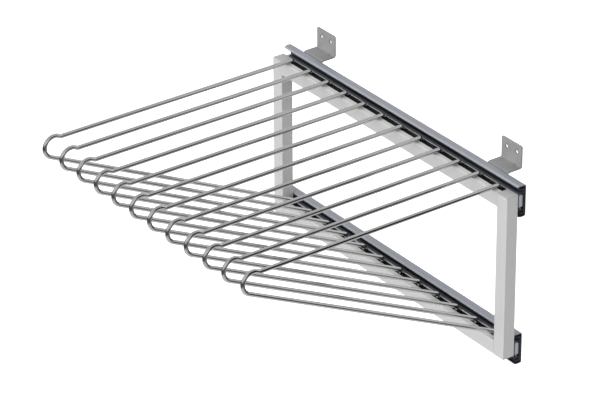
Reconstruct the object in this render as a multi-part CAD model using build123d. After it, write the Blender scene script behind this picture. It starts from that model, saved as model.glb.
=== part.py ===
from build123d import *
import math
import os

# Side-mounted pull-out trouser rack. X runs in the pull-out direction, Y from the hangers to
# the wall and Z up. The pieces are drawn with X from the frame's rear end, Y from its front
# face and Z from its lower edge; save() moves them to the row's origin, which is on the wall,
# midway between the two screw holes of the upper rear bracket.

# Frame
frame_length = 500.0
frame_height = 235.0
tube_face = 20.0
tube_depth = 18.0
tube_wall = 1.5
tube_edge = 0.8
cap_plate = 1.5
cap_plug_depth = 10.0
cap_plug_gap = 0.1
cap_chamfer = 0.3

# Slot along the top of each rail, and the holder strip in it that grips the hangers
slot_front = 7.8
holder_gap = 0.2
holder_recess = 1.5
holder_deck = 7.0
holder_back_wall = 0.35
lock_gap = 0.25
lock_thickness = 1.2
lock_height = 7.4
lock_below_top = 0.3

# Corner keys and their screws
key_gap = 0.2
key_length = 22.0
key_screw_d = 4.0
key_head_d = 5.6
key_head_height = 2.4
key_screw_end_gap = 6.6

# Wire hangers
hanger_count = 12
hanger_pitch = 40.0
wire_d = 6.0
reach = 386.5
wire_rest_gap = 0.05
leg_gap = 0.95
leg_depth = 12.0
leg_hole_gap = 0.1
bend_inside = 1.3
ramp_angle = 31.0
ramp_bend = 6.0
nose_radius = 15.0
nose_rise = 6.4
lower_rise = 4.9

# Runners: section sizes across Y are measured from the rail's back face
runner_height = 45.0
runner_depth = 12.7
runner_sheet = 1.2
runner_drop = 1.5
runner_bend = 2.0
fixed_lip = 3.6
fixed_front = 0.6
ball_gap = 3.4
ball_clearance = 0.3
cage_clearance = 0.3
middle_web_gap = 1.1
drawer_web_gap = 1.4
middle_front = 2.6
inner_setback = 12.0
travel = 500.0
cage_margin = 5.0
cage_web = 0.5
cage_arm = 1.0
cage_hole_gap = 0.1
ball_pitch = 15.0

# Runner screws, buffers and stops
screw_d = 4.0
screw_hole_gap = 0.1
screw_tip_gap = 0.4
screw_head_d = 7.0
screw_head_height = 2.2
screw_head_round = 0.7
drive_across = 2.5
drive_depth = 1.2
screw_count = 3
screw_inset = 62.0
front_buffer_length = 8.0
buffer_side_gap = 4.1
buffer_inset = 1.0
buffer_gap = 0.4
buffer_round = 1.2

# Wall brackets
bracket_width = 40.0
bracket_sheet = 2.0
bracket_inside_bend = 1.5
bracket_corner = 1.5
bracket_leg = 31.5
bracket_hidden_leg = 30.0
wall_standoff = 24.5
wall_hole_d = 5.0
wall_hole_spacing = 20.0
wall_hole_rise = 18.0
top_rear_inset = 48.0
top_front_inset = 58.0
bottom_bracket_inset = 100.0
bead_width = 18.0
bead_length = 4.0
bead_depth = 0.8
rivet_d = 4.0
rivet_head_d = 6.8
rivet_tail_d = 6.5
rivet_tail_height = 1.4
rivet_tail_round = 0.7
rivet_gap = 0.05
rivet_spacing = 22.0

# Sections closer than this are taken as the same place
same_place = 0.01

# Worked-out places
rail_back = tube_depth
rail_tops = {"bottom": tube_face, "top": frame_height}
runner_middles = {side: top - tube_face / 2 - runner_drop for side, top in rail_tops.items()}
runner_back = rail_back + runner_depth
wall_y = runner_back + wall_standoff
holder_back = tube_depth - tube_wall - holder_gap
key_back = slot_front - key_gap
key_screw_y = (tube_wall + key_gap + key_back) / 2
leg_y = slot_front + leg_gap + wire_d / 2
lock_front = leg_y + wire_d / 2 + lock_gap
holder_body_back = leg_y + wire_d / 2 + leg_hole_gap + holder_back_wall
screw_tip = tube_depth - holder_body_back - screw_tip_gap
wire_bend = wire_d / 2 + bend_inside
first_hanger = (frame_length - hanger_pitch * (hanger_count - 1)) / 2
hanger_places = [first_hanger + hanger_pitch * i for i in range(hanger_count)]

fixed_inside = runner_height / 2 - runner_sheet
middle_half = fixed_inside - ball_gap
middle_back = runner_depth - runner_sheet - middle_web_gap
middle_inside = middle_half - runner_sheet
drawer_half = middle_inside - ball_gap
drawer_back = middle_back - runner_sheet - drawer_web_gap
drawer_inside = drawer_half - runner_sheet
buffer_half = drawer_inside - buffer_side_gap
member_length = frame_length - inner_setback
ball_d = ball_gap - 2 * ball_clearance
cage_start = inner_setback + travel / 4 + cage_margin
cage_length = member_length - travel / 2 - 2 * cage_margin
ball_count = int(cage_length // ball_pitch)
ball_first = cage_start + (cage_length - ball_pitch * (ball_count - 1)) / 2
ball_places = [ball_first + ball_pitch * i for i in range(ball_count)]

screw_span = frame_length - 2 * screw_inset
screw_places = [screw_inset + screw_span * i / (screw_count - 1) for i in range(screw_count)]

runner_top_z = runner_middles["top"] + runner_height / 2
runner_bottom_z = runner_middles["bottom"] - runner_height / 2
brackets = {
    "top_rear": (top_rear_inset, "top"),
    "top_front": (frame_length - top_front_inset, "top"),
    "bottom_rear": (bottom_bracket_inset, "bottom"),
    "bottom_front": (frame_length - bottom_bracket_inset, "bottom"),
}
row_origin = (top_rear_inset, wall_y, runner_top_z + wall_hole_rise)


def block(x0, x1, y0, y1, z0, z1):
    """A box between two corners."""
    centre = Pos((x0 + x1) / 2, (y0 + y1) / 2, (z0 + z1) / 2)
    return centre * Box(x1 - x0, y1 - y0, z1 - z0)


def rod_along(axis, start, length, radius):
    """A cylinder from a start point along +X, +Y or +Z."""
    turns = {"x": Rot(0, 90, 0), "y": Rot(-90, 0, 0), "z": Rot(0, 0, 0)}
    standing = Cylinder(radius, length, align=(Align.CENTER, Align.CENTER, Align.MIN))
    return Pos(*start) * turns[axis] * standing


def yz_rect(y0, y1, z0, z1):
    """A rectangle in a section across the rack, with Y to the right and Z up."""
    return Pos((y0 + y1) / 2, (z0 + z1) / 2) * Rectangle(y1 - y0, z1 - z0)


def bar(section, x0, length):
    """A section across the rack, drawn out along X."""
    return extrude(Plane.YZ.offset(x0) * section, length)


# ---------------------------------------------------------------- frame


def stile(x0):
    """An upright tube of the frame, closed at both ends by caps."""
    x1 = x0 + tube_face
    z0 = cap_plate
    z1 = frame_height - cap_plate
    outer = block(x0, x1, 0, tube_depth, z0, z1)
    outer = fillet(outer.edges().filter_by(Axis.Z), tube_edge)
    inner = block(x0 + tube_wall, x1 - tube_wall, tube_wall, tube_depth - tube_wall, z0, z1)
    tube = outer - inner
    joint_x = x1 if x0 < frame_length / 2 else x0
    for top in rail_tops.values():
        start = (joint_x - tube_face / 2, key_screw_y, top - tube_face / 2)
        tube -= rod_along("x", start, tube_face, key_screw_d / 2 + screw_hole_gap)
    return tube


def stile_cap(x0, side):
    """A push-in cap that closes one end of a stile."""
    plate = block(x0, x0 + tube_face, 0, tube_depth, 0, cap_plate)
    plate = fillet(plate.edges().filter_by(Axis.Z), tube_edge)
    plate = chamfer(plate.faces().sort_by(Axis.Z)[0].edges(), cap_chamfer)
    inset = tube_wall + cap_plug_gap
    plug = block(
        x0 + inset, x0 + tube_face - inset, inset, tube_depth - inset, cap_plate, cap_plug_depth
    )
    hollow_inset = inset + tube_wall
    hollow = block(
        x0 + hollow_inset,
        x0 + tube_face - hollow_inset,
        hollow_inset,
        tube_depth - hollow_inset,
        cap_plate,
        cap_plug_depth,
    )
    screw_start = (x0, key_screw_y, tube_face / 2)
    head_room = rod_along("x", screw_start, tube_face, key_head_d / 2 + screw_hole_gap)
    cap = plate + (plug - hollow - head_room)
    if side == "top":
        cap = cap.mirror(Plane.XY.offset(frame_height / 2))
    return cap


def rail(top):
    """A level tube between the stiles, with a slot for the hangers along its top."""
    x0 = tube_face
    x1 = frame_length - tube_face
    z0 = top - tube_face
    outer = block(x0, x1, 0, tube_depth, z0, top)
    outer = fillet(outer.edges().filter_by(Axis.X), tube_edge)
    inner = block(x0, x1, tube_wall, tube_depth - tube_wall, z0 + tube_wall, top - tube_wall)
    slot = block(x0, x1, slot_front, tube_depth - tube_wall, top - 2 * tube_wall, top)
    tube = outer - inner - slot
    middle = top - tube_face / 2 - runner_drop
    for x in screw_places:
        start = (x, tube_depth - 2 * tube_wall, middle)
        tube -= rod_along("y", start, 3 * tube_wall, screw_d / 2 + screw_hole_gap)
    return tube


def corner_key(at_rear, top):
    """A block inside a rail's end that the stile is screwed to."""
    x0 = tube_face if at_rear else frame_length - tube_face - key_length
    gap = tube_wall + key_gap
    key = block(x0, x0 + key_length, gap, key_back, top - tube_face + gap, top - gap)
    bore = rod_along("x", (x0, key_screw_y, top - tube_face / 2), key_length, key_screw_d / 2)
    return key - bore


def corner_screw(at_rear, top):
    """The screw from inside a stile into a corner key."""
    screw_z = top - tube_face / 2
    shank_length = tube_wall + key_length - key_screw_end_gap
    joint_x = tube_face if at_rear else frame_length - tube_face
    head_x = joint_x - tube_wall - key_head_height if at_rear else joint_x + tube_wall
    shank_x = joint_x - tube_wall if at_rear else joint_x + tube_wall - shank_length
    head = rod_along("x", (head_x, key_screw_y, screw_z), key_head_height, key_head_d / 2)
    shank = rod_along("x", (shank_x, key_screw_y, screw_z), shank_length, key_screw_d / 2)
    return head + shank


def hanger_holder(top):
    """The plastic strip in a rail's slot, bored for the hangers' legs."""
    deck_top = top - holder_recess
    deck = yz_rect(slot_front + holder_gap, holder_back, deck_top - holder_deck, deck_top)
    body = yz_rect(slot_front + holder_gap, holder_body_back, top - tube_face + tube_wall, deck_top)
    groove_floor = top - lock_below_top - lock_height
    groove = yz_rect(lock_front, lock_front + lock_thickness, groove_floor, top)
    strip = bar(deck + body - groove, tube_face, frame_length - 2 * tube_face)
    for x in hanger_places:
        start = (x, leg_y, top - leg_depth - leg_hole_gap)
        strip -= rod_along("z", start, leg_depth, wire_d / 2 + leg_hole_gap)
    return strip


def lock_strip(top):
    """The thin steel strip behind the hangers' legs."""
    high = top - lock_below_top
    section = yz_rect(lock_front, lock_front + lock_thickness, high - lock_height, high)
    return bar(section, tube_face, frame_length - 2 * tube_face)


# ---------------------------------------------------------------- hangers


def hanger_path():
    """The wire's centre line, in the plane X = 0, from the upper leg round to the lower leg."""
    arm_z = frame_height + wire_d / 2 + wire_rest_gap
    slope = math.radians(ramp_angle)
    nose_y = wire_d / 2 + nose_radius - reach
    nose_z = frame_height + nose_rise - nose_radius
    lower_corner_z = tube_face + lower_rise

    def on_nose(angle):
        return (0, nose_y + nose_radius * math.cos(angle), nose_z + nose_radius * math.sin(angle))

    across = leg_y - nose_y
    down = lower_corner_z - nose_z
    start_angle = math.pi / 2 - slope
    to_corner = math.atan2(down, across)
    end_angle = to_corner - math.acos(nose_radius / math.hypot(across, down)) + 2 * math.pi
    ramp_end = on_nose(start_angle)
    ramp_start_y = ramp_end[1] + (ramp_end[2] - arm_z) / math.tan(slope)

    upper = FilletPolyline(
        (0, leg_y, frame_height - leg_depth),
        (0, leg_y, arm_z),
        (0, ramp_start_y, arm_z),
        ramp_end,
        radius=[wire_bend, ramp_bend],
    )
    nose = ThreePointArc(ramp_end, on_nose((start_angle + end_angle) / 2), on_nose(end_angle))
    lower = FilletPolyline(
        on_nose(end_angle),
        (0, leg_y, lower_corner_z),
        (0, leg_y, tube_face - leg_depth),
        radius=wire_bend,
    )
    return upper + nose + lower


def hanger():
    """One bent wire hanger, in the plane X = 0."""
    start = Plane(origin=(0, leg_y, frame_height - leg_depth), z_dir=(0, 0, 1))
    return sweep(start * Circle(wire_d / 2), path=hanger_path())


# ---------------------------------------------------------------- runners


def place_runner(shape, side):
    """Moves a piece drawn about the runner's own back face and middle to its rail."""
    return Pos(0, rail_back, runner_middles[side]) * shape


def web_bores(x_places, y0, y1, radius):
    """Round holes across a runner's web, as solids to cut with."""
    return [rod_along("y", (x, y0, 0), y1 - y0, radius) for x in x_places]


def rivet_places(side):
    """X of every rivet between a fixed member and its brackets."""
    places = []
    for x, bracket_side in brackets.values():
        if bracket_side == side:
            places += [x - rivet_spacing / 2, x + rivet_spacing / 2]
    return places


def fixed_member(side):
    """The outer channel of a runner, riveted to the wall brackets."""
    half = runner_height / 2
    outer = yz_rect(fixed_front, runner_depth, -half, half)
    outer = fillet(outer.vertices(), runner_bend)
    inner = yz_rect(
        fixed_front + runner_sheet, runner_depth - runner_sheet, -fixed_inside, fixed_inside
    )
    inner = fillet(inner.vertices(), runner_bend - runner_sheet)
    mouth_half = half - fixed_lip
    mouth = yz_rect(0, fixed_front + 2 * runner_sheet, -mouth_half, mouth_half)
    member = bar(outer - inner - mouth, 0, frame_length)
    web_front = runner_depth - runner_sheet
    for x in rivet_places(side):
        member -= rivet_blank(x, web_front, rivet_gap)
    return place_runner(member, side)


def middle_member(side):
    """The channel between the fixed and the drawer member of a runner."""
    outer = yz_rect(middle_front, middle_back, -middle_half, middle_half)
    outer = fillet(outer.vertices().group_by(Axis.X)[-1], runner_bend)
    inner = yz_rect(0, middle_back - runner_sheet, -middle_inside, middle_inside)
    inner = fillet(inner.vertices().group_by(Axis.X)[-1], runner_bend - runner_sheet)
    member = bar(outer - inner, inner_setback, member_length)
    return place_runner(member, side)


def drawer_member(side):
    """The inner channel of a runner, screwed to the rail."""
    outer = yz_rect(0, drawer_back, -drawer_half, drawer_half)
    outer = fillet(outer.vertices().group_by(Axis.X)[0], runner_bend)
    inner = yz_rect(runner_sheet, runner_depth, -drawer_inside, drawer_inside)
    inner = fillet(inner.vertices().group_by(Axis.X)[0], runner_bend - runner_sheet)
    member = bar(outer - inner, inner_setback, member_length)
    for hole in web_bores(screw_places, -1, 2 * runner_sheet, screw_d / 2 + screw_hole_gap):
        member -= hole
    return place_runner(member, side)


def cage_stage(stage):
    """Sizes of a ball cage: front, back, half height of the balls' row, and the balls' Y."""
    if stage == "outer":
        back = runner_depth - runner_sheet - cage_clearance
        row = (fixed_inside + middle_half) / 2
    else:
        back = middle_back - runner_sheet - cage_clearance
        row = (middle_inside + drawer_half) / 2
    front = middle_front
    return front, back, row, (front + back - cage_web) / 2


def ball_cage(stage, side):
    """A cage that keeps a stage's two rows of balls apart."""
    front, back, row, ball_y = cage_stage(stage)
    half = row + cage_arm / 2
    shell = yz_rect(front, back, -half, half)
    inner_half = row - cage_arm / 2
    hollow = yz_rect(0, back - cage_web, -inner_half, inner_half)
    cage = bar(shell - hollow, cage_start, cage_length)
    for x in ball_places:
        start = (x, ball_y, -half)
        cage -= rod_along("z", start, 2 * half, ball_d / 2 + cage_hole_gap)
    return place_runner(cage, side)


def cage_balls(stage, side):
    """The balls of one stage, in an upper and a lower row."""
    row, ball_y = cage_stage(stage)[2:]
    rows = [Pos(x, ball_y, z) * Sphere(ball_d / 2) for x in ball_places for z in (-row, row)]
    return [place_runner(ball, side) for ball in rows]


def runner_screw(x, side):
    """A screw through the drawer member into the rail's back wall."""
    shank = rod_along("y", (x, -screw_tip, 0), screw_tip + runner_sheet, screw_d / 2)
    head = rod_along("y", (x, runner_sheet, 0), screw_head_height, screw_head_d / 2)
    head = fillet(head.edges().filter_by(GeomType.CIRCLE).sort_by(Axis.Y)[-1], screw_head_round)
    drive_start = runner_sheet + screw_head_height - drive_depth
    socket_plane = Plane(origin=(x, drive_start, 0), z_dir=(0, 1, 0))
    socket = extrude(socket_plane * RegularPolygon(drive_across / 2, 6, major_radius=False), screw_tip)
    return place_runner(shank + head - socket, side)


def front_buffer(side):
    """The buffer in the front end of a drawer member."""
    x1 = frame_length - buffer_inset
    pad = block(x1 - front_buffer_length, x1, runner_sheet, drawer_back, -buffer_half, buffer_half)
    pad = fillet(pad.edges().filter_by(Axis.Y), buffer_round)
    return place_runner(pad, side)


def rear_buffer(side):
    """The buffer on a fixed member that the closing carriage meets."""
    x1 = inner_setback - buffer_gap
    y1 = runner_depth - runner_sheet
    pad = block(buffer_inset, x1, middle_front, y1, -buffer_half, buffer_half)
    pad = fillet(pad.edges().filter_by(Axis.Y), buffer_round)
    return place_runner(pad, side)


# ---------------------------------------------------------------- brackets


def rivet_blank(x, web_front, gap):
    """A countersunk head and its shank, grown by a gap, from a web's front face."""
    shank_length = runner_sheet + bracket_sheet + rivet_tail_height
    shank = rod_along("y", (x, web_front, 0), shank_length, rivet_d / 2 + gap)
    cone = Cone(rivet_head_d / 2 + gap, rivet_d / 2 + gap, runner_sheet)
    return shank + Pos(x, web_front + runner_sheet / 2, 0) * Rot(-90, 0, 0) * cone


def rivet(x, side):
    """A rivet that joins a fixed member to a bracket."""
    blank = rivet_blank(x, runner_depth - runner_sheet, 0)
    tail_y = runner_depth + bracket_sheet
    tail = rod_along("y", (x, tail_y, 0), rivet_tail_height, rivet_tail_d / 2)
    tail = fillet(tail.edges().filter_by(GeomType.CIRCLE).sort_by(Axis.Y)[-1], rivet_tail_round)
    return place_runner(blank + tail, side)


def bracket_profile():
    """A bent plate: down the runner's back, out to the wall and up the wall. Z = 0 is its shelf."""
    y0 = runner_back
    y1 = wall_y
    t = bracket_sheet
    r = bracket_inside_bend
    outline = Polyline(
        (y0, -bracket_hidden_leg),
        (y0 + t, -bracket_hidden_leg),
        (y0 + t, -t),
        (y1, -t),
        (y1, bracket_leg - t),
        (y1 - t, bracket_leg - t),
        (y1 - t, 0),
        (y0, 0),
        close=True,
    )
    section = make_face(Plane.XY * outline)
    inside = [v for v in section.vertices() if near(v, y0 + t, -t) or near(v, y1 - t, 0)]
    section = fillet(inside, r)
    outside = [v for v in section.vertices() if near(v, y0, 0) or near(v, y1, -t)]
    return fillet(outside, r + t)


def near(vertex, y, z):
    """Whether a section's vertex lies at Y and Z."""
    return abs(vertex.X - y) < same_place and abs(vertex.Y - z) < same_place


def bracket(x, side):
    """A wall bracket with two screw holes and a pressed bead across its upper bend."""
    half = bracket_width / 2
    plate = bar(bracket_profile(), x - half, bracket_width)
    corners = plate.edges().filter_by(Axis.Y).group_by(Axis.Z)[-1]
    plate = fillet(corners, bracket_corner)
    for dx in (-wall_hole_spacing / 2, wall_hole_spacing / 2):
        start = (x + dx, wall_y - 2 * bracket_sheet, wall_hole_rise)
        plate -= rod_along("y", start, 3 * bracket_sheet, wall_hole_d / 2)
    inner_y = wall_y - bracket_sheet
    plate -= block(
        x - bead_width / 2,
        x + bead_width / 2,
        inner_y - bead_length,
        inner_y + bead_depth,
        -bead_depth,
        bead_length,
    )
    drop = runner_height / 2
    for dx in (-rivet_spacing / 2, rivet_spacing / 2):
        start = (x + dx, runner_back - bracket_sheet, -drop)
        plate -= rod_along("y", start, 3 * bracket_sheet, rivet_d / 2 + rivet_gap)
    if side == "bottom":
        return Pos(0, 0, runner_bottom_z) * plate.mirror(Plane.XY)
    return Pos(0, 0, runner_top_z) * plate


# ---------------------------------------------------------------- the assembly


def save(name, solids):
    """Writes one node, moved to the row's origin. A list is kept as separate solids."""
    to_origin = Pos(*[-value for value in row_origin])
    pieces = solids if isinstance(solids, list) else [solids]
    moved = [to_origin * solid for piece in pieces for solid in piece.solids()]
    node = moved[0] if len(moved) == 1 else Compound(children=moved)
    export_step(node, f"parts/{name}.step")


def main():
    os.makedirs("parts", exist_ok=True)
    sides = ("top", "bottom")
    ends = {"rear": 0, "front": frame_length - tube_face}

    for end, x0 in ends.items():
        save(f"stile_{end}", stile(x0))
        for side in sides:
            save(f"stile_cap_{end}_{side}", stile_cap(x0, side))
    corners = [(at_rear, top) for at_rear in (True, False) for top in rail_tops.values()]
    save("corner_keys", [corner_key(*corner) for corner in corners])
    save("corner_screws", [corner_screw(*corner) for corner in corners])
    save("lock_strip_top", lock_strip(frame_height))

    wire = hanger()
    for number, x in enumerate(hanger_places, start=1):
        save(f"hanger_{number:02d}", Pos(x, 0, 0) * wire)

    for side in sides:
        save(f"rail_{side}", rail(rail_tops[side]))
        save(f"hanger_holder_{side}", hanger_holder(rail_tops[side]))
        save(f"runner_fixed_{side}", fixed_member(side))
        save(f"runner_middle_{side}", middle_member(side))
        save(f"runner_drawer_{side}", drawer_member(side))
        for stage in ("outer", "inner"):
            save(f"ball_cage_{stage}_{side}", ball_cage(stage, side))
            save(f"balls_{stage}_{side}", cage_balls(stage, side))
        save(f"runner_screws_{side}", [runner_screw(x, side) for x in screw_places])
        save(f"front_buffer_{side}", front_buffer(side))
        save(f"rear_buffer_{side}", rear_buffer(side))
        save(f"bracket_rivets_{side}", [rivet(x, side) for x in rivet_places(side)])

    for name, (x, side) in brackets.items():
        save(f"bracket_{name}", bracket(x, side))


main()
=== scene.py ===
import math

import bmesh
import bpy
from bpy.props import FloatProperty, FloatVectorProperty, IntProperty, PointerProperty
from mathutils import Matrix, Vector


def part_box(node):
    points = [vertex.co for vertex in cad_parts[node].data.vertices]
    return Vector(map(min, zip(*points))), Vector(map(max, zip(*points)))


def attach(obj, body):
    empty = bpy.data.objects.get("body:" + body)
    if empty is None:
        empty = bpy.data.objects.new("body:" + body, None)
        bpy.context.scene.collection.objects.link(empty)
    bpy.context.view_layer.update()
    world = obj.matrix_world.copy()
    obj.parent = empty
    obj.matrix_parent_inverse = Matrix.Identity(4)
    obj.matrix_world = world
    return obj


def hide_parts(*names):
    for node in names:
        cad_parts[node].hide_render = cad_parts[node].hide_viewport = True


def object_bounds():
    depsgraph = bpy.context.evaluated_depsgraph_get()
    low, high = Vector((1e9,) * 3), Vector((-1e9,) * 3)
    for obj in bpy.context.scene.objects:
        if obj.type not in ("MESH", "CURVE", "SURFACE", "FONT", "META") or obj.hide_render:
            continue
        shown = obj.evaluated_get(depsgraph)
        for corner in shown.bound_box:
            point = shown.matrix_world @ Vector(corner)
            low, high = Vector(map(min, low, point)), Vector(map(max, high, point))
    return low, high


bl_info = {
    "name": "Pull-out trouser rack",
    "version": (1, 0, 0),
    "blender": (4, 5, 0),
    "location": "3D View > Sidebar > Rack",
    "description": "Wires, runners, brackets and finishes for a side-mounted pull-out trouser rack",
    "category": "Object",
}

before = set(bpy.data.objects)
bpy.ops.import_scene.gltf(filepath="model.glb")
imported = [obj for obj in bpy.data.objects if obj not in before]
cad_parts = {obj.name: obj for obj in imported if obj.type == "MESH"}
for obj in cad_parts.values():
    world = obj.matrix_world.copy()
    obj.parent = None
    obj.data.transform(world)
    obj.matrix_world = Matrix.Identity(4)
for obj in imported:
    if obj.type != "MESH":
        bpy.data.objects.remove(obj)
cad_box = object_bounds()

SIDES = ("top", "bottom")
ENDS = ("rear", "front")
HANGERS = sorted(
    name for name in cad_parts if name.startswith("hanger_") and name[-1].isdigit()
)
SMOOTH_BELOW = math.radians(35)

RAIL_TOPS = {side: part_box(f"rail_{side}")[1].z for side in SIDES}
RUNNER_BOX = {side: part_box(f"runner_fixed_{side}") for side in SIDES}
RUNNER_MIDDLES = {side: (low.z + high.z) / 2 for side, (low, high) in RUNNER_BOX.items()}
FIRST_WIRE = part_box(HANGERS[0])
WIRE_DIAMETER = FIRST_WIRE[1].x - FIRST_WIRE[0].x

# Two places nearer than this count as one
NEAR = 0.00001
# Room round a face's place when faces are picked
SLACK = 0.0001

# Steps round a hanger's bends
LEG_STEPS = 8
RAMP_STEPS = 5
NOSE_STEPS = 28

# Rolled runner members
ROLL_BEND = 0.0014
ROLL_STEPS = 5
LIP_HEIGHT = 0.0036
CROWN = 0.0003
RACE_EDGE = 0.0034
WEB_END = 0.0005
LIP_TRIM = 0.0032
LIP_EASE = 2.2
LIP_STEPS = ((0.0013, 0.85), (0.0022, 0.5))
SHOULDER_DEPTH = 0.0022

BALLS_IN_ROW = 15

# Buffers: the recess in the end, the pad in the recess, and the latch pins
RECESS_EDGE = 0.0011
RECESS_DEPTH = 0.0014
PAD_EDGE = 0.0006
PAD_RISE = 0.0009
PIN_RADIUS = 0.0014
PIN_GAP = 0.0018

# Wall brackets
PLATE_BEND = 0.0015
PLATE_CORNER = 0.0015
PLATE_RUN = 0.003
BEAD_HALF = 0.009
BEAD_SLOPE = 0.0012
BEAD_DEPTH = 0.0011
HOLE_RISE = 0.018
HOLE_HALF_PITCH = 0.01

CAMERA_PLACE = Vector((3.54184, -2.62112, 2.14398))


# ---------------------------------------------------------------- sizes and colours


class RackSizes(bpy.types.PropertyGroup):
    """Sizes of the bent and rolled pieces."""

    wire_diameter: FloatProperty(
        name="Wire diameter",
        description="Thickness of the hangers' round wire",
        default=WIRE_DIAMETER,
        unit="LENGTH",
    )
    wire_sides: IntProperty(
        name="Wire sides",
        description="Flats round the wire's section",
        default=24,
    )
    leg_depth: FloatProperty(
        name="Leg depth",
        description="How far a hanger's legs reach below the top of their rail",
        default=0.012,
        unit="LENGTH",
    )
    arm_gap: FloatProperty(
        name="Arm gap",
        description="Height of the upper arms above their rail",
        default=0.00005,
        unit="LENGTH",
    )
    leg_bend: FloatProperty(
        name="Leg bend",
        description="Inside radius of the bend between a leg and an arm",
        default=0.0013,
        unit="LENGTH",
    )
    ramp_angle: FloatProperty(
        name="Ramp angle",
        description="Slope of the short rise before the nose",
        default=math.radians(31),
        subtype="ANGLE",
    )
    ramp_bend: FloatProperty(
        name="Ramp bend",
        description="Radius of the bend at the foot of the ramp",
        default=0.006,
        unit="LENGTH",
    )
    nose_radius: FloatProperty(
        name="Nose radius",
        description="Radius of the loop at a hanger's tip",
        default=0.015,
        unit="LENGTH",
    )
    nose_rise: FloatProperty(
        name="Nose rise",
        description="Height of the nose above the upper rail",
        default=0.0064,
        unit="LENGTH",
    )
    lower_rise: FloatProperty(
        name="Lower rise",
        description="Height of the lower bend above the lower rail",
        default=0.0049,
        unit="LENGTH",
    )
    runner_sheet: FloatProperty(
        name="Runner sheet",
        description="Thickness of the runners' rolled sheet",
        default=0.0012,
        unit="LENGTH",
    )
    bracket_sheet: FloatProperty(
        name="Bracket sheet",
        description="Thickness of the wall brackets' sheet",
        default=0.002,
        unit="LENGTH",
    )
    wall_hole: FloatProperty(
        name="Wall hole",
        description="Diameter of a bracket's two screw holes",
        default=0.005,
        unit="LENGTH",
    )


def colour_property(name, description, default):
    """A colour that the panel shows as a swatch."""
    return FloatVectorProperty(
        name=name,
        description=description,
        default=default,
        subtype="COLOR",
        min=0,
        max=1,
    )


class RackColours(bpy.types.PropertyGroup):
    """Colours of the finishes."""

    aluminium: colour_property("Aluminium", "Satin anodised frame", (0.74, 0.74, 0.735))
    cap: colour_property("Cap", "Grey plastic of the frame's end caps", (0.50, 0.50, 0.505))
    chrome: colour_property("Chrome", "Plated wire", (0.56, 0.56, 0.56))
    black: colour_property("Black plastic", "Hanger holders and ball cages", (0.004, 0.004, 0.0045))
    runner: colour_property("Runner", "Blue passivated zinc of the runners", (0.35, 0.375, 0.425))
    # Lighter than the runner: a painted highlight on the front lips
    lip: colour_property("Lip", "Burnished lips of the runners", (0.41, 0.425, 0.45))
    # Very dark: painted shade for the middle and drawer members and for the insides of the channels
    inner_runner: colour_property("Inner runner", "Oiled inner members", (0.062, 0.07, 0.088))
    bracket: colour_property("Bracket", "Dull zinc of the wall brackets", (0.31, 0.31, 0.31))
    steel: colour_property("Steel", "Bright steel of balls, screws and strip", (0.62, 0.62, 0.63))
    buffer: colour_property("Buffer", "Grey plastic of the buffers", (0.55, 0.57, 0.60))


class RackStudio(bpy.types.PropertyGroup):
    """Camera and light."""

    lens: FloatProperty(
        name="Lens", description="Focal length in millimetres", default=219.2252
    )
    turn: FloatProperty(
        name="Turn", description="Camera's turn about Z", default=0.9421673, subtype="ANGLE"
    )
    rise: FloatProperty(
        name="Rise", description="Camera's angle above level", default=0.4968491, subtype="ANGLE"
    )
    roll: FloatProperty(
        name="Roll", description="Camera's roll", default=-0.00497, subtype="ANGLE"
    )
    key_power: FloatProperty(
        name="Key light", description="Power of the soft key light", default=84.0, unit="POWER"
    )
    sky: FloatProperty(
        name="Sky", description="Brightness of the light from above", default=0.9
    )
    ground: FloatProperty(
        name="Ground", description="Brightness of the light from below", default=0.8
    )
    band: FloatProperty(
        name="Band", description="Brightness of the dark band below the horizon", default=0.11
    )
    fill_power: FloatProperty(
        name="Fill light", description="Power of the soft fill light", default=8.0, unit="POWER"
    )


# ---------------------------------------------------------------- finishes


class Term:
    """A socket of a finish, on which sums are written as ordinary arithmetic."""

    def __init__(self, finish, socket):
        self.finish = finish
        self.socket = socket

    def _sum(self, operation, first, second):
        return self.finish.add("ShaderNodeMath", {"operation": operation}, {0: first, 1: second})

    def __add__(self, other):
        return self._sum("ADD", self, other)

    def __sub__(self, other):
        return self._sum("SUBTRACT", self, other)

    def __rsub__(self, other):
        return self._sum("SUBTRACT", other, self)

    def __mul__(self, other):
        return self._sum("MULTIPLY", self, other)

    __radd__ = __add__
    __rmul__ = __mul__


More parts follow.
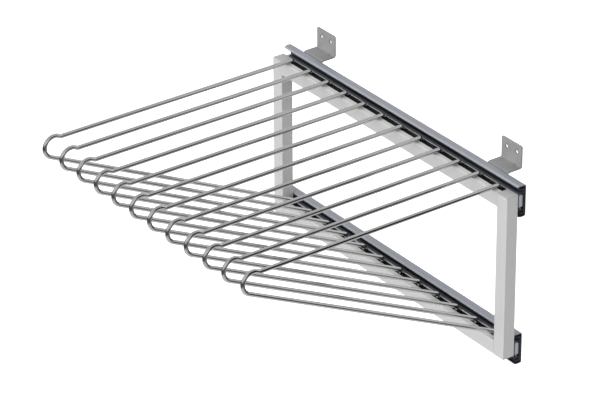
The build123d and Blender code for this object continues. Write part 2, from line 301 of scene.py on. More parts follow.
class Finish:
    """A material that is built node by node."""

    def __init__(self, name):
        self.material = bpy.data.materials.new(name)
        self.material.use_nodes = True
        self.tree = self.material.node_tree
        self.tree.nodes.clear()

    def add(self, kind, settings=None, sockets=None, output=0):
        """Adds a node: its settings first, then its sockets' values or links."""
        node = self.tree.nodes.new(kind)
        for key, value in (settings or {}).items():
            if key == "stops":
                self.set_stops(node.color_ramp, value)
            else:
                setattr(node, key, value)
        for key, value in (sockets or {}).items():
            if isinstance(value, Term):
                self.tree.links.new(value.socket, node.inputs[key])
            else:
                node.inputs[key].default_value = value
        return Term(self, node.outputs[output])

    @staticmethod
    def set_stops(ramp, stops):
        """Gives a ramp its stops, as pairs of place and grey value."""
        while len(ramp.elements) < len(stops):
            ramp.elements.new(0.5)
        for element, (place, value) in zip(ramp.elements, stops):
            element.position = place
            element.color = (value, value, value, 1)

    def coordinates(self, stretch=(1, 1, 1)):
        """Object coordinates, stretched for a grain that runs one way."""
        place = self.add("ShaderNodeTexCoord", output="Object")
        return self.add("ShaderNodeMapping", {}, {"Vector": place, "Scale": stretch})

    def noise(self, scale, detail=2.0, roughness=0.5, stretch=(1, 1, 1)):
        """Noise from 0 to 1, with its features a metre over the scale in size."""
        sockets = {
            "Vector": self.coordinates(stretch),
            "Scale": scale,
            "Detail": detail,
            "Roughness": roughness,
        }
        return self.add("ShaderNodeTexNoise", {}, sockets)

    def ramp(self, factor, *stops):
        """A value remapped through grey stops."""
        return self.add("ShaderNodeValToRGB", {"stops": stops}, {"Fac": factor})

    def mix(self, factor, first, second):
        """A colour between two colours."""
        sockets = {0: factor, 6: first, 7: second}
        return self.add("ShaderNodeMix", {"data_type": "RGBA"}, sockets, output=2)

    def bump(self, height, depth, strength):
        """A bump of a depth in metres."""
        sockets = {"Height": height, "Distance": depth, "Strength": strength}
        return self.add("ShaderNodeBump", {}, sockets)

    def close(self, **sockets):
        """The shader and the output; a socket's name has _ for a space."""
        named = {key.replace("_", " "): value for key, value in sockets.items()}
        shader = self.add("ShaderNodeBsdfPrincipled", {}, named)
        self.add_output(shader)
        return self.material

    def add_output(self, shader):
        """Joins the shader to the material's output."""
        node = self.tree.nodes.new("ShaderNodeOutputMaterial")
        self.tree.links.new(shader.socket, node.inputs["Surface"])


def shade(colour, factor):
    """A colour made lighter or darker, with an alpha of 1."""
    return tuple(min(1.0, part * factor) for part in colour) + (1.0,)


def anodised(name, colour, stretch):
    """Satin anodised aluminium: fine lines along the extrusion under a sealed, even sheen."""
    finish = Finish(name)
    lines = finish.noise(2600, 3.0, 0.6, stretch)
    broad = finish.noise(420, 2.0, 0.5, stretch)
    cloud = finish.noise(14, 3.0, 0.55)
    grit = finish.noise(5200, 1.0, 0.5)
    tone = 0.45 * lines + 0.25 * broad + 0.3 * cloud
    base = finish.mix(tone, shade(colour, 0.92), shade(colour, 1.08))
    rough = 0.34 + 0.12 * lines + 0.1 * cloud
    normal = finish.bump(lines + 0.4 * grit, 0.00002, 0.5)
    return finish.close(
        Base_Color=base, Metallic=0.35, Roughness=rough, Normal=normal, IOR=1.5
    )


def plating(name, colour, stretch, rough_low=0.08, rough_high=0.2):
    """Bright plating over drawn wire or polished steel."""
    finish = Finish(name)
    lines = finish.noise(1500, 2.0, 0.5, stretch)
    peel = finish.noise(700, 2.0, 0.5)
    cloud = finish.noise(30, 2.0, 0.5)
    base = finish.mix(0.6 * lines + 0.4 * cloud, shade(colour, 0.9), shade(colour, 1.1))
    rough = rough_low + (rough_high - rough_low) * (0.5 * lines + 0.5 * cloud)
    normal = finish.bump(0.7 * lines + 0.3 * peel, 0.000015, 0.5)
    return finish.close(Base_Color=base, Metallic=1.0, Roughness=rough, Normal=normal)


def rolled_zinc(name, colour, stretch):
    """Blue passivated zinc on rolled sheet: streaks along the strip and a faint colour bloom."""
    finish = Finish(name)
    lines = finish.noise(1800, 3.0, 0.6, stretch)
    bloom = finish.noise(26, 3.0, 0.6)
    speck = finish.noise(2400, 2.0, 0.6)
    warm = (colour[0] * 1.12, colour[1] * 1.03, colour[2] * 0.92, 1.0)
    tone = finish.mix(lines, shade(colour, 0.86), shade(colour, 1.12))
    patch = finish.ramp(bloom, (0.42, 0.0), (0.75, 0.5))
    base = finish.mix(patch, tone, warm)
    rough = 0.3 + 0.14 * lines + 0.12 * bloom
    normal = finish.bump(0.7 * lines + 0.3 * speck, 0.00003, 0.6)
    return finish.close(Base_Color=base, Metallic=0.55, Roughness=rough, Normal=normal)


def dull_zinc(name, colour):
    """Dull zinc on pressed sheet: a faint crystal pattern and rubbed, smoother spots."""
    finish = Finish(name)
    sockets = {"Vector": finish.coordinates(), "Scale": 420.0}
    crystals = finish.add("ShaderNodeTexVoronoi", {}, sockets, output="Distance")
    cloud = finish.noise(38, 3.0, 0.6)
    grit = finish.noise(2600, 2.0, 0.6)
    tone = 0.4 * crystals + 0.6 * cloud
    base = finish.mix(tone, shade(colour, 0.88), shade(colour, 1.12))
    rough = 0.42 + 0.16 * cloud + 0.08 * crystals
    normal = finish.bump(0.5 * crystals + 0.5 * grit, 0.00004, 0.5)
    return finish.close(Base_Color=base, Metallic=0.25, Roughness=rough, Normal=normal)


def moulded(name, colour, rough=0.5, contrast=0.12, shine=0.5):
    """Moulded plastic with a fine spark-eroded texture and a slight flow mark."""
    finish = Finish(name)
    texture = finish.noise(3200, 3.0, 0.65)
    flow = finish.noise(55, 2.0, 0.5, (0.35, 1, 1))
    tone = 0.5 * texture + 0.5 * flow
    base = finish.mix(tone, shade(colour, 1 - contrast), shade(colour, 1 + contrast))
    roughness = rough - 0.06 + 0.12 * flow + 0.06 * texture
    normal = finish.bump(texture, 0.00005, 0.5)
    return finish.close(
        Base_Color=base, Roughness=roughness, Normal=normal, IOR=1.48, Specular_IOR_Level=shine
    )


ALONG_X = (0.012, 1, 1)
ALONG_Y = (1, 0.02, 1)
ALONG_Z = (1, 1, 0.012)


def paint(node, material):
    """Gives a CAD node its finish."""
    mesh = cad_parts[node].data
    if mesh.materials:
        for index in range(len(mesh.materials)):
            mesh.materials[index] = material
    else:
        mesh.materials.append(material)


# ---------------------------------------------------------------- modelling by hand


def start(kind, name, **settings):
    """Adds a primitive, puts its place in its mesh and opens it for editing."""
    bpy.ops.object.select_all(action="DESELECT")
    getattr(bpy.ops.mesh, f"primitive_{kind}_add")(**settings)
    piece = bpy.context.object
    piece.name = name
    piece.data.name = name
    bpy.ops.object.transform_apply(location=True, rotation=True, scale=True)
    bpy.ops.object.mode_set(mode="EDIT")
    return piece


def pick(piece, kind, wanted):
    """Selects the vertices, edges or faces whose middle passes a test, in edit mode."""
    bpy.ops.mesh.select_mode(type=kind)
    bpy.ops.mesh.select_all(action="DESELECT")
    mesh = bmesh.from_edit_mesh(piece.data)
    found = 0
    groups = {"VERT": mesh.verts, "EDGE": mesh.edges, "FACE": mesh.faces}
    for part in groups[kind]:
        points = [part.co] if kind == "VERT" else [v.co for v in part.verts]
        if wanted(sum(points, Vector()) / len(points)):
            part.select_set(True)
            found += 1
    mesh.select_flush(True)
    bmesh.update_edit_mesh(piece.data)
    if not found:
        raise RuntimeError(f"{piece.name}: nothing to pick")


def pull(x=0.0, y=0.0, z=0.0):
    """Extrudes what is selected and moves it."""
    bpy.ops.mesh.extrude_region_move(TRANSFORM_OT_translate={"value": (x, y, z)})


def close_edit():
    """Leaves edit mode."""
    bpy.ops.object.mode_set(mode="OBJECT")


def apply(piece, kind, **settings):
    """Adds a modifier to a piece and applies it."""
    modifier = piece.modifiers.new(kind.lower(), kind)
    for key, value in settings.items():
        setattr(modifier, key, value)
    bpy.ops.object.select_all(action="DESELECT")
    piece.select_set(True)
    bpy.context.view_layer.objects.active = piece
    bpy.ops.object.modifier_apply(modifier=modifier.name)


def soften(piece, width, segments=2, angle=SMOOTH_BELOW):
    """Rounds the sharp edges of a piece and shades it smooth between them."""
    apply(
        piece,
        "BEVEL",
        width=width,
        segments=segments,
        limit_method="ANGLE",
        angle_limit=angle,
        use_clamp_overlap=True,
    )
    smooth(piece)


def smooth(piece):
    """Shades a piece smooth except over sharp edges."""
    bpy.ops.object.select_all(action="DESELECT")
    piece.select_set(True)
    bpy.context.view_layer.objects.active = piece
    bpy.ops.object.shade_smooth_by_angle(angle=SMOOTH_BELOW)


def copy_to(piece, name, move):
    """A copy of a piece with its own mesh, moved along."""
    bpy.ops.object.select_all(action="DESELECT")
    piece.select_set(True)
    bpy.context.view_layer.objects.active = piece
    bpy.ops.object.duplicate(linked=False)
    copy = bpy.context.object
    copy.name = name
    copy.data.name = name
    bpy.ops.transform.translate(value=move)
    bpy.ops.object.transform_apply(location=True, rotation=True, scale=True)
    return copy


def cut_bores(piece, centres, radius, length):
    """Cuts round holes through a piece, along Y."""
    for centre in centres:
        bit = start(
            "cylinder",
            "bit",
            vertices=32,
            radius=radius,
            depth=length,
            location=centre,
            rotation=(math.pi / 2, 0, 0),
        )
        close_edit()
        apply(piece, "BOOLEAN", operation="DIFFERENCE", solver="EXACT", object=bit)
        bpy.data.objects.remove(bit)


def arc(centre, radius, first, last, steps):
    """Points of an arc in the YZ plane. Angles are in degrees, from +Y towards +Z."""
    points = []
    for step in range(steps + 1):
        angle = math.radians(first + (last - first) * step / steps)
        points.append((centre[0] + radius * math.cos(angle), centre[1] + radius * math.sin(angle)))
    return points


def rolled_strip(name, line, stations, sheet):
    """A strip of sheet: its line of (Y, Z) points is drawn, pulled along X and thickened."""
    piece = start("plane", name, size=sheet, location=(stations[0], *line[0]))
    bpy.ops.mesh.select_mode(type="VERT")
    bpy.ops.mesh.merge(type="CENTER")
    for (y0, z0), (y1, z1) in zip(line, line[1:]):
        pull(y=y1 - y0, z=z1 - z0)
    bpy.ops.mesh.select_all(action="SELECT")
    bpy.ops.mesh.select_mode(type="EDGE")
    for x0, x1 in zip(stations, stations[1:]):
        pull(x=x1 - x0)
    return piece


def thicken(piece, sheet):
    """Gives a strip its thickness, half to each side."""
    close_edit()
    apply(piece, "SOLIDIFY", thickness=sheet, offset=0, use_even_offset=True)


def place_piece(piece, body, slot, material, *nodes):
    """Gives a finished piece its finish, its body and the nodes it stands for."""
    piece.data.materials.clear()
    piece.data.materials.append(material)
    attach(piece, body)
    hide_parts(*nodes)


# ---------------------------------------------------------------- pieces


class RACK_OT_frame(bpy.types.Operator):
    """Finish the frame's tubes, caps, keys and their screws"""

    bl_idname = "rack.frame"
    bl_label = "Frame"

    def execute(self, context):
        colours = context.scene.rack_colours
        upright = anodised("anodised_upright", colours.aluminium, ALONG_Z)
        level = anodised("anodised_level", colours.aluminium, ALONG_X)
        cap = moulded("cap_plastic", colours.cap, 0.42, 0.05)
        key = dull_zinc("key_casting", colours.bracket)
        screw = plating("screw_plating", colours.steel, (1, 1, 1), 0.2, 0.34)
        for end in ENDS:
            paint(f"stile_{end}", upright)
            for side in SIDES:
                paint(f"stile_cap_{end}_{side}", cap)
        for side in SIDES:
            paint(f"rail_{side}", level)
            paint(f"runner_screws_{side}", screw)
            paint(f"bracket_rivets_{side}", screw)
        paint("corner_keys", key)
        paint("corner_screws", screw)
        return {"FINISHED"}


class RACK_OT_holders(bpy.types.Operator):
    """Finish the black strips that hold the wires, and the steel strip behind them"""

    bl_idname = "rack.holders"
    bl_label = "Hanger holders"

    def execute(self, context):
        colours = context.scene.rack_colours
        black = moulded("holder_plastic", colours.black, 0.45, 0.3, 0.2)
        for side in SIDES:
            paint(f"hanger_holder_{side}", black)
        paint("lock_strip_top", plating("strip_steel", colours.steel, ALONG_X, 0.16, 0.3))
        return {"FINISHED"}


class RACK_OT_hangers(bpy.types.Operator):
    """Bend one wire hanger and copy it to every place on the rails"""

    bl_idname = "rack.hangers"
    bl_label = "Wire hangers"

    def execute(self, context):
        sizes = context.scene.rack_sizes
        low, high = FIRST_WIRE
        half = sizes.wire_diameter / 2
        first_x = (low.x + high.x) / 2
        arm_z = RAIL_TOPS["top"] + sizes.arm_gap + half
        wire = self.bend(sizes, Vector((first_x, high.y - half)), arm_z, low.y + half)
        chrome = plating("chrome", context.scene.rack_colours.chrome, ALONG_Y, 0.07, 0.16)
        for node in HANGERS:
            node_low, node_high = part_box(node)
            step = (node_low.x + node_high.x) / 2 - first_x
            copy = copy_to(wire, f"wire_{node}", (step, 0, 0))
            place_piece(copy, "carriage", "chrome_wire", chrome, node)
        bpy.data.objects.remove(wire)
        return {"FINISHED"}

    def bend(self, sizes, leg, arm_z, tip_y):
        """One hanger: leg, arm, ramp, nose, lower arm and leg."""
        radius = sizes.nose_radius
        nose_y = tip_y + radius
        nose_z = RAIL_TOPS["top"] + sizes.nose_rise - radius
        corner_z = RAIL_TOPS["bottom"] + sizes.lower_rise
        bend = sizes.wire_diameter / 2 + sizes.leg_bend
        slope = sizes.ramp_angle
        across = leg.y - nose_y
        down = corner_z - nose_z
        fall = math.atan2(down, across)
        last = fall - math.acos(radius / math.hypot(across, down)) + 2 * math.pi
        first = math.pi / 2 - slope
        ramp_end = Vector((nose_y + radius * math.cos(first), nose_z + radius * math.sin(first)))
        foot_y = ramp_end.x + (ramp_end.y - arm_z) / math.tan(slope)
        foot_trim = sizes.ramp_bend * math.tan(slope / 2)
        ramp = (ramp_end.x - foot_y) / -math.cos(slope) - foot_trim
        lower_start = Vector((nose_y + radius * math.cos(last), nose_z + radius * math.sin(last)))
        lower = Vector((leg.y - lower_start.x, corner_z - lower_start.y))
        lower_turn = math.pi / 2 + math.atan2(lower.y, lower.x)
        lower_trim = bend * math.tan(lower_turn / 2)
        start_z = RAIL_TOPS["top"] - sizes.leg_depth

        self.heading = math.pi / 2
        self.at = Vector((leg.y, start_z))
        self.x = leg.x
        wire = start(
            "circle",
            "wire",
            vertices=sizes.wire_sides,
            radius=sizes.wire_diameter / 2,
            location=(leg.x, leg.y, start_z),
        )
        bpy.ops.mesh.select_mode(type="EDGE")
        bpy.ops.mesh.select_all(action="SELECT")
        self.draw(arm_z - bend - start_z)
        self.turn(math.pi / 2, bend, LEG_STEPS)
        self.draw(leg.y - bend - foot_y - foot_trim)
        self.turn(-slope, sizes.ramp_bend, RAMP_STEPS)
        self.draw(ramp)
        self.turn(last - first, radius, NOSE_STEPS)
        self.draw(lower.length - lower_trim)
        self.turn(-lower_turn, bend, LEG_STEPS)
        self.draw(corner_z - lower_trim - (RAIL_TOPS["bottom"] - sizes.leg_depth))
        bpy.ops.mesh.select_all(action="SELECT")
        bpy.ops.mesh.remove_doubles(threshold=1e-7)
        bpy.ops.mesh.fill_holes(sides=0)
        bpy.ops.mesh.normals_make_consistent(inside=False)
        close_edit()
        soften(wire, 0.0004, 2, math.radians(60))
        return wire

    def draw(self, length):
        """Pulls the wire's open end straight on."""
        step = Vector((math.cos(self.heading), math.sin(self.heading))) * length
        pull(y=step.x, z=step.y)
        self.at += step

    def turn(self, angle, radius, steps):
        """Bends the wire's open end to the left for a positive angle."""
        side = math.copysign(math.pi / 2, angle)
        out = Vector((math.cos(self.heading + side), math.sin(self.heading + side)))
        centre = self.at + out * radius
        bpy.ops.mesh.spin(
            steps=steps,
            angle=-angle,
            center=(self.x, centre.x, centre.y),
            axis=(1, 0, 0),
        )
        self.heading += angle
        back = Vector((math.cos(self.heading - side), math.sin(self.heading - side)))
        self.at = centre + back * radius


class RACK_OT_runners(bpy.types.Operator):
    """Roll the three members of both runners"""

    bl_idname = "rack.runners"
    bl_label = "Runner members"

    def execute(self, context):
        sizes = context.scene.rack_sizes
        colours = context.scene.rack_colours
        outer_zinc = rolled_zinc("runner_zinc", colours.runner, ALONG_X)
        shaded_zinc = rolled_zinc("shaded_zinc", colours.inner_runner, ALONG_X)
        # The lighter finish on the front lips is a painted highlight
        lip_highlight_zinc = dull_zinc("lip_highlight_zinc", colours.lip)
        drawn = {"fixed": self.fixed, "middle": self.middle, "drawer": self.drawer}
        bodies = {"fixed": "wall_mount", "middle": "middle_{}", "drawer": "carriage"}
        for member, line in drawn.items():
            first = None
            for side in SIDES:
                node = f"runner_{member}_{side}"
                if first is None:
                    first = self.roll(member, line, node, sizes.runner_sheet, side)
                    piece = first
                else:
                    rise = RUNNER_MIDDLES[side] - RUNNER_MIDDLES[SIDES[0]]
                    piece = copy_to(first, f"rolled_{node}", (0, 0, rise))
                body = bodies[member].format(side)
                # The middle and drawer members take the darker finish, painted shade for their
                # place under the flanges
                zinc = outer_zinc if member == "fixed" else shaded_zinc
                place_piece(piece, body, "runner_zinc", zinc, node)
                if member == "fixed":
                    self.darken_inside(piece, node, shaded_zinc)
                    self.burnish_lips(piece, node, lip_highlight_zinc)
        return {"FINISHED"}

    def roll(self, member, line, node, sheet, side):
        """Rolls one member inside its node's box."""
        low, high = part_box(node)
        middle = RUNNER_MIDDLES[side]
        half = (high.z - low.z) / 2
        upper = line(low.y, high.y, half, sheet)
        points = [(y, middle - z) for y, z in upper] + [(y, middle + z) for y, z in reversed(upper)]
        stations = [low.x, low.x + LIP_TRIM, high.x - LIP_TRIM, high.x]
        piece = rolled_strip(f"rolled_{node}", points, stations, sheet)
        if member == "fixed":
            self.round_lips(piece, low, high)
        thicken(piece, sheet)
        soften(piece, 0.00022, 2, math.radians(50))
        return piece

    def burnish_lips(self, piece, node, material):
        """Gives the shoulder and the flat face of each rolled lip the lighter finish, a painted
        highlight along the front lips.
        """
        low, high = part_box(node)
        middle_z = (low.z + high.z) / 2
        piece.data.materials.append(material)
        for face in piece.data.polygons:
            outward = face.normal.z * math.copysign(1, face.center.z - middle_z)
            shoulder = 0.55 < outward < 0.985
            at_front = face.center.y <= low.y + SHOULDER_DEPTH
            if at_front and (shoulder or face.normal.y < -0.9):
                face.material_index = 2

    def darken_inside(self, piece, node, material):
        """Gives the faces inside a channel the darker finish, as painted shade where the channel
        lies in shadow.
        """
        low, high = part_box(node)
        middle = (low + high) / 2
        piece.data.materials.append(material)
        for face in piece.data.polygons:
            inward = middle - face.center
            inward.x = 0
            if inward.normalized().dot(face.normal) > 0.2 and abs(face.normal.x) < 0.7:
                face.material_index = 1

    def round_lips(self, piece, low, high):
        """Draws back the corners of the lips; each step takes what the last left at the end."""
        for end_x, way in ((low.x, 1), (high.x, -1)):
            for depth, share in LIP_STEPS:
                front = low.y + depth
                pick(piece, "VERT", lambda p: abs(p.x - end_x) < NEAR and p.y < front)
                bpy.ops.transform.translate(value=(way * LIP_TRIM * share / LIP_EASE, 0, 0))

    def fixed(self, front, back, half, sheet):
        """Half of the fixed member's line: lip, crowned race and half the web."""
        t = sheet / 2
        bend = ROLL_BEND
        top = half - t
        lip_end = half - LIP_HEIGHT + t
        arc_z = top - CROWN - bend
        y0, y1 = front + t, back - t
        line = [(y0, lip_end)]
        line += arc((y0 + bend, arc_z), bend, 180, 90, ROLL_STEPS)
        line += [(y0 + RACE_EDGE, top), (y1 - RACE_EDGE, top)]
        line += arc((y1 - bend, arc_z), bend, 90, 0, ROLL_STEPS)
        line += [(y1, 0.012), (y1, WEB_END)]
        return line

    def middle(self, front, back, half, sheet):
        """Half of the middle member's line: a flange with a hollow race and half the web."""
        t = sheet / 2
        bend = ROLL_BEND
        top = half - t
        y0, y1 = front, back - t
        line = [(y0, top), (y0 + 0.0012, top)]
        hollow = ((0.0020, 0.00025), (0.0034, 0.00035), (0.0048, 0.00025), (0.0056, 0.0001))
        line += [(y0 + along, top - depth) for along, depth in hollow]
        line += arc((y1 - bend, top - bend), bend, 90, 0, ROLL_STEPS)
        line += [(y1, 0.010), (y1, WEB_END)]
        return line

    def drawer(self, front, back, half, sheet):
        """Half of the drawer member's line: a flange with a hollow race and half the web."""
        t = sheet / 2
        bend = ROLL_BEND
        top = half - t
        y0, y1 = front + t, back
        hollow = ((0.0006, 0.0001), (0.0014, 0.0005), (0.0024, 0.0007))
        hollow += ((0.0034, 0.0005), (0.0042, 0.0001))
        line = [(y1, top)]
        line += [(y1 - along, top - depth) for along, depth in hollow]
        line += arc((y0 + bend, top - bend), bend, 90, 180, ROLL_STEPS)
        line += [(y0, 0.008), (y0, WEB_END)]
        return line


class RACK_OT_balls(bpy.types.Operator):
    """Set the polished balls in their cages and finish the cages"""

    bl_idname = "rack.balls"
    bl_label = "Balls and cages"

    def execute(self, context):
        colours = context.scene.rack_colours
        cage = moulded("cage_plastic", colours.black, 0.45, 0.3, 0.25)
        steel = plating("ball_steel", colours.steel, (1, 1, 1), 0.04, 0.09)
        for stage in ("outer", "inner"):
            for side in SIDES:
                paint(f"ball_cage_{stage}_{side}", cage)
                node = f"balls_{stage}_{side}"
                body = f"{stage}_cage_{side}"
                place_piece(self.string(node), body, "ball_steel", steel, node)
        return {"FINISHED"}

    def string(self, node):
        """Two rows of balls, copied along from one ball."""
        low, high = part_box(node)
        diameter = high.y - low.y
        pitch = (high.x - low.x - diameter) / (BALLS_IN_ROW - 1)
        first = low + Vector((diameter, diameter, diameter)) / 2
        string = start(
            "uv_sphere",
            f"polished_{node}",
            segments=14,
            ring_count=8,
            radius=diameter / 2,
            location=first,
        )
        bpy.ops.mesh.select_all(action="SELECT")
        bpy.ops.mesh.duplicate_move(
            TRANSFORM_OT_translate={"value": (0, 0, high.z - low.z - diameter)}
        )
        bpy.ops.mesh.select_all(action="SELECT")
        for _ in range(BALLS_IN_ROW - 1):
            bpy.ops.mesh.duplicate_move(TRANSFORM_OT_translate={"value": (pitch, 0, 0)})
        close_edit()
        bpy.ops.object.shade_smooth()
        return string


class RACK_OT_buffers(bpy.types.Operator):
    """Mould the front and rear buffers of both runners"""

    bl_idname = "rack.buffers"
    bl_label = "Buffers"

    def execute(self, context):
        colours = context.scene.rack_colours
        grey = moulded("buffer_plastic", colours.buffer, 0.4, 0.08)
        steel = plating("pin_steel", colours.steel, (1, 1, 1), 0.08, 0.16)
        for side in SIDES:
            for end, body in (("front", "carriage"), ("rear", "wall_mount")):
                node = f"{end}_buffer_{side}"
                piece = self.mould(node, 1 if end == "front" else -1)
                place_piece(piece, body, "buffer_grey", grey, node)
                if end == "front":
                    self.mark_pins(piece, node, steel)
        return {"FINISHED"}

    def mould(self, node, way):
        """A block with a recessed end and a raised pad in it; a front one has two latch pins."""
        low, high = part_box(node)
        size = high - low
        centre = (low + high) / 2
        block = start("cube", f"moulded_{node}", size=1, location=centre, scale=size)
        end_x = high.x if way > 0 else low.x
        pick(block, "FACE", lambda p: abs(p.x - end_x) < NEAR)
        bpy.ops.mesh.inset(thickness=RECESS_EDGE, depth=0)
        pull(x=-way * RECESS_DEPTH)
        bpy.ops.mesh.inset(thickness=PAD_EDGE, depth=0)
        pull(x=way * PAD_RISE)
        if way > 0:
            for rise in (-1, 1):
                bpy.ops.mesh.primitive_cylinder_add(
                    vertices=20,
                    radius=PIN_RADIUS,
                    depth=size.x,
                    location=centre + Vector((0, 0, rise * (size.z / 2 + PIN_GAP))),
                    rotation=(0, math.pi / 2, 0),
                )
        close_edit()
        soften(block, 0.0006, 3)
        return block

    def mark_pins(self, block, node, steel):
        """Gives the latch pins above and below the block their bright finish."""
        low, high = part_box(node)
        block.data.materials.append(steel)
        for face in block.data.polygons:
            if not low.z - SLACK < face.center.z < high.z + SLACK:
                face.material_index = 1


class RACK_OT_brackets(bpy.types.Operator):
    """Press the four wall brackets"""

    bl_idname = "rack.brackets"
    bl_label = "Wall brackets"

    def execute(self, context):
        sizes = context.scene.rack_sizes
        zinc = dull_zinc("bracket_zinc", context.scene.rack_colours.bracket)
        for side in SIDES:
            first = None
            for end in ENDS:
                node = f"bracket_{side}_{end}"
                low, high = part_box(node)
                if first is None:
                    first = self.press(node, side, sizes)
                    first_x = low.x
                    piece = first
                else:
                    piece = copy_to(first, f"pressed_{node}", (low.x - first_x, 0, 0))
                place_piece(piece, "wall_mount", "bracket_steel", zinc, node)
        return {"FINISHED"}

    def press(self, node, side, sizes):
        """Bends the plate, presses its bead and drills it."""
        low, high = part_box(node)
        sheet = sizes.bracket_sheet
        half = sheet / 2
        up = 1 if side == "top" else -1
        shelf_z = RUNNER_BOX[side][1].z if up > 0 else RUNNER_BOX[side][0].z
        hidden_z = low.z if up > 0 else high.z
        tip_z = high.z if up > 0 else low.z
        y0, y1 = low.y + half, high.y - half
        bend = half + PLATE_BEND
        shelf = shelf_z - up * half
        line = [(y0, hidden_z), (y0, shelf - up * bend)]
        line += self.corner((y0 + bend, shelf - up * bend), bend, 180, 90, up)[1:]
        line += [(y1 - bend - PLATE_RUN, shelf)]
        line += self.corner((y1 - bend, shelf + up * bend), bend, 270, 360, up)
        line += [(y1, shelf + up * (bend + PLATE_RUN)), (y1, tip_z)]
        middle = (low.x + high.x) / 2
        bead = BEAD_HALF
        stations = [low.x, low.x + PLATE_CORNER, middle - bead, middle - bead + BEAD_SLOPE]
        stations += [middle + bead - BEAD_SLOPE, middle + bead, high.x - PLATE_CORNER, high.x]
        plate = rolled_strip(f"pressed_{node}", line, stations, sheet)

        def in_bead(p):
            in_bend = p.y > y1 - bend - SLACK and up * (p.z - shelf) < bend + SLACK
            return in_bend and abs(p.x - middle) < bead - BEAD_SLOPE / 2

        pick(plate, "VERT", in_bead)
        bpy.ops.transform.translate(value=(0, -BEAD_DEPTH, up * BEAD_DEPTH))
        for x in (low.x, high.x):
            pick(plate, "VERT", lambda p: abs(p.x - x) < NEAR and abs(p.z - tip_z) < NEAR)
            bpy.ops.transform.translate(value=(0, 0, -up * PLATE_CORNER))
        thicken(plate, sheet)
        hole_z = shelf_z + up * HOLE_RISE
        holes = [(middle + way * HOLE_HALF_PITCH, y1, hole_z) for way in (-1, 1)]
        cut_bores(plate, holes, sizes.wall_hole / 2, 4 * sheet)
        soften(plate, 0.00025, 2, math.radians(40))
        return plate

    def corner(self, centre, radius, first, last, up):
        """Points of a bend, mirrored downwards for a lower bracket."""
        points = arc((0, 0), radius, first, last, 6)
        return [(centre[0] + y, centre[1] + up * z) for y, z in points]


# ---------------------------------------------------------------- studio


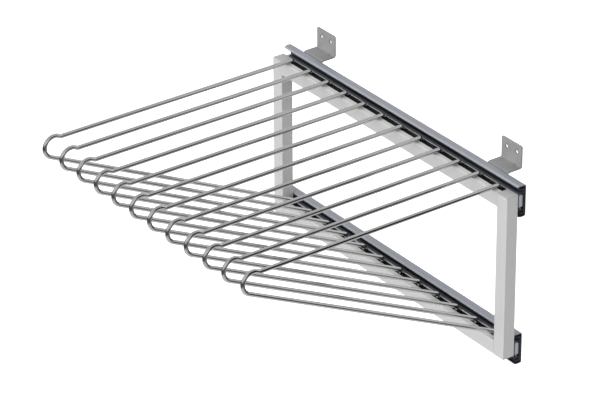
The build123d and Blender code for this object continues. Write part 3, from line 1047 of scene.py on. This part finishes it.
class RACK_OT_studio(bpy.types.Operator):
    """Set up the floor, the light and the camera"""

    bl_idname = "rack.studio"
    bl_label = "Studio"

    def execute(self, context):
        studio = context.scene.rack_studio
        context.scene.view_settings.view_transform = "Standard"
        self.floor()
        self.sky(context.scene, studio)
        self.lamp("key", (-0.12, -1.0, 0.3), 2.7, (3.4, 2.6), studio.key_power)
        self.lamp("fill", (1.0, -0.25, 0.15), 2.4, (2.0, 2.0), studio.fill_power)
        self.flag()
        self.camera(context.scene, studio)
        return {"FINISHED"}

    def floor(self):
        """A pale floor that curves up into a backdrop all round."""
        radius = 15.0
        floor_z = -1.5
        bowl = start("circle", "floor", vertices=96, radius=radius, location=(0, 0, floor_z))
        bpy.ops.mesh.select_all(action="SELECT")
        bpy.ops.mesh.edge_face_add()
        bpy.ops.mesh.select_mode(type="EDGE")
        for rise, grow in ((0.3, 1.12), (0.8, 1.09), (1.6, 1.06), (3.0, 1.03), (6.0, 1.0)):
            bpy.ops.mesh.extrude_edges_move(TRANSFORM_OT_translate={"value": (0, 0, rise)})
            bpy.ops.transform.resize(value=(grow, grow, 1), center_override=(0, 0, 0))
        close_edit()
        bpy.ops.object.shade_smooth()
        pale = Finish("pale_floor")
        grain = pale.noise(3, 2.0, 0.5)
        base = pale.mix(grain, (0.86, 0.86, 0.86, 1), (0.9, 0.9, 0.9, 1))
        bowl.data.materials.append(
            pale.close(
                Base_Color=base,
                Roughness=0.9,
                Emission_Color=(1.0, 1.0, 1.0, 1.0),
                Emission_Strength=0.9,
            )
        )
        bowl.visible_glossy = False
        bowl.visible_diffuse = False
        bowl.visible_shadow = False

    def sky(self, scene, studio):
        """Even light from above and below, with a darker band just under the horizon."""
        world = bpy.data.worlds.new("soft_sky")
        scene.world = world
        world.use_nodes = True
        nodes, links = world.node_tree.nodes, world.node_tree.links
        nodes.clear()
        place = nodes.new("ShaderNodeTexCoord")
        split = nodes.new("ShaderNodeSeparateXYZ")
        span = nodes.new("ShaderNodeMapRange")
        span.inputs["From Min"].default_value = -1
        ramp = nodes.new("ShaderNodeValToRGB")
        stops = (
            (0.0, studio.ground),
            (0.16, studio.ground),
            (0.27, studio.band),
            (0.47, studio.band),
            (0.54, studio.sky * 0.78),
            (0.74, studio.sky),
            (0.86, studio.sky * 0.75),
            (1.0, studio.sky * 0.6),
        )
        Finish.set_stops(ramp.color_ramp, stops)
        light = nodes.new("ShaderNodeBackground")
        out = nodes.new("ShaderNodeOutputWorld")
        links.new(place.outputs["Generated"], split.inputs[0])
        links.new(split.outputs["Z"], span.inputs["Value"])
        links.new(span.outputs[0], ramp.inputs[0])
        links.new(ramp.outputs[0], light.inputs["Color"])
        links.new(light.outputs[0], out.inputs["Surface"])

    def lamp(self, name, way, distance, size, power):
        """A large soft light that faces the rack."""
        middle = (cad_box[0] + cad_box[1]) / 2
        away = Vector(way).normalized()
        light = bpy.data.lights.new(name, "AREA")
        light.shape = "RECTANGLE"
        light.size, light.size_y = size
        light.energy = power
        lamp = bpy.data.objects.new(name, light)
        bpy.context.scene.collection.objects.link(lamp)
        lamp.location = middle + away * distance
        lamp.rotation_euler = away.to_track_quat("Z", "Y").to_euler()
        lamp.visible_camera = False
        lamp.visible_glossy = False

    def flag(self):
        """A dark card beyond the front end, which shows only in reflections."""
        low, high = cad_box
        reach_y = high.y - low.y
        centre = Vector((high.x + reach_y, low.y + 0.84 * reach_y, high.z + 0.5 * reach_y))
        card = start("plane", "flag", size=1, location=centre, rotation=(0, math.pi / 2, 0))
        bpy.ops.transform.resize(
            value=(1, 1.84 * reach_y, 1.5 * reach_y), center_override=tuple(centre)
        )
        close_edit()
        matt = Finish("matt_black")
        cloth = matt.noise(40, 2.0, 0.5)
        base = matt.mix(cloth, (0.003, 0.003, 0.003, 1), (0.006, 0.006, 0.006, 1))
        card.data.materials.append(matt.close(Base_Color=base, Roughness=0.95))
        card.visible_camera = False
        card.visible_diffuse = False
        card.visible_shadow = False

    def camera(self, scene, studio):
        """The camera, from its turn, rise and roll."""
        turn, rise, roll = studio.turn, studio.rise, studio.roll
        back = Vector(
            (math.sin(turn) * math.cos(rise), -math.cos(turn) * math.cos(rise), math.sin(rise))
        )
        right = Vector((math.cos(turn), math.sin(turn), 0))
        up = back.cross(right)
        rolled_right = right * math.cos(roll) + up * math.sin(roll)
        rolled_up = up * math.cos(roll) - right * math.sin(roll)
        data = bpy.data.cameras.new("camera")
        data.sensor_width = 36
        data.lens = studio.lens
        data.clip_start = 0.1
        data.clip_end = 200
        camera = bpy.data.objects.new("camera", data)
        scene.collection.objects.link(camera)
        axes = Matrix((rolled_right, rolled_up, back)).transposed().to_4x4()
        camera.matrix_world = Matrix.Translation(CAMERA_PLACE) @ axes
        scene.camera = camera


# ---------------------------------------------------------------- add-on

GROUPS = {"rack_sizes": RackSizes, "rack_colours": RackColours, "rack_studio": RackStudio}
OPERATORS = (
    RACK_OT_frame,
    RACK_OT_holders,
    RACK_OT_hangers,
    RACK_OT_runners,
    RACK_OT_balls,
    RACK_OT_buffers,
    RACK_OT_brackets,
    RACK_OT_studio,
)


class RACK_PT_pieces(bpy.types.Panel):
    """The rack's sizes, colours and pieces"""

    bl_idname = "RACK_PT_pieces"
    bl_label = "Trouser rack"
    bl_space_type = "VIEW_3D"
    bl_region_type = "UI"
    bl_category = "Rack"

    def draw(self, context):
        for group_name, group in GROUPS.items():
            box = self.layout.box()
            for field in group.__annotations__:
                box.prop(getattr(context.scene, group_name), field)
        for operator in OPERATORS:
            self.layout.operator(operator.bl_idname)


def register():
    """Adds the rack's sizes, operators and panel."""
    for cls in (*GROUPS.values(), *OPERATORS, RACK_PT_pieces):
        bpy.utils.register_class(cls)
    for group_name, group in GROUPS.items():
        setattr(bpy.types.Scene, group_name, PointerProperty(type=group))


def unregister():
    """Takes them away again."""
    for group_name in GROUPS:
        delattr(bpy.types.Scene, group_name)
    for cls in reversed((*GROUPS.values(), *OPERATORS, RACK_PT_pieces)):
        bpy.utils.unregister_class(cls)


def main():
    """Makes every piece."""
    register()
    for operator in OPERATORS:
        group, name = operator.bl_idname.split(".")
        getattr(getattr(bpy.ops, group), name)()


if __name__ == "__main__":
    main()
